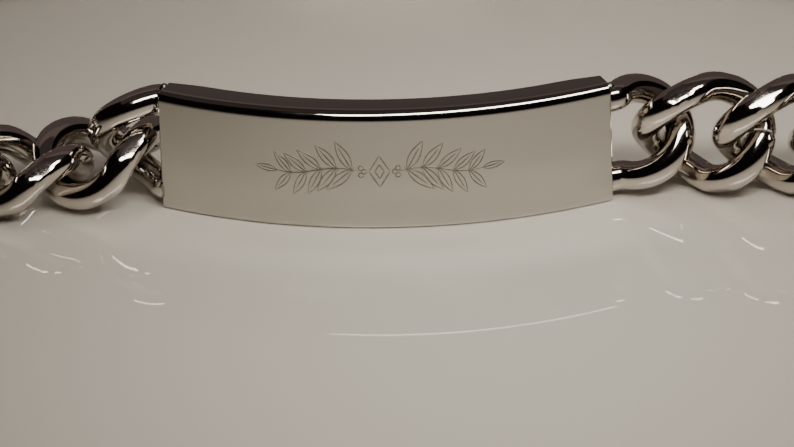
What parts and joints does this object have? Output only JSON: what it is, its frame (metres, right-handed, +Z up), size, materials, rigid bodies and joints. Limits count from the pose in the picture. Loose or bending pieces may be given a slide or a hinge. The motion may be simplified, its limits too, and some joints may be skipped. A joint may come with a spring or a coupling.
{
  "type": "id bracelet",
  "caption": "Curved identity plate with rounded front edges between lengths of twisted curb chain, closed into a loop by a plain bar clasp, standing on its long edge.",
  "frame": {"origin": "middle of the plate's lower edge, half way through its thickness", "axes": "+X along the plate, +Y from the plate towards the clasp, +Z up from the surface that it rests on"},
  "size_m": [0.0991, 0.0514, 0.0107],
  "materials": {
    "plate_steel": "mirror polished stainless steel, finely scratched",
    "link_steel": "bright polished stainless steel wire",
    "clasp_steel": "polished stainless steel, brushed along its length"
  },
  "bodies": {
    "root": {"id_plate": "plate_steel", "clasp": "clasp_steel", "link_right_01": "link_steel", "link_right_02": "link_steel", "link_right_03": "link_steel", "link_right_04": "link_steel", "link_right_05": "link_steel", "link_right_06": "link_steel", "link_right_07": "link_steel", "link_right_08": "link_steel", "link_right_09": "link_steel", "link_right_10": "link_steel", "link_right_11": "link_steel", "link_right_12": "link_steel", "link_right_13": "link_steel", "link_left_01": "link_steel", "link_left_02": "link_steel", "link_left_03": "link_steel", "link_left_04": "link_steel", "link_left_05": "link_steel", "link_left_06": "link_steel", "link_left_07": "link_steel", "link_left_08": "link_steel", "link_left_09": "link_steel", "link_left_10": "link_steel", "link_left_11": "link_steel", "link_left_12": "link_steel", "link_left_13": "link_steel"}
  },
  "joints": []
}
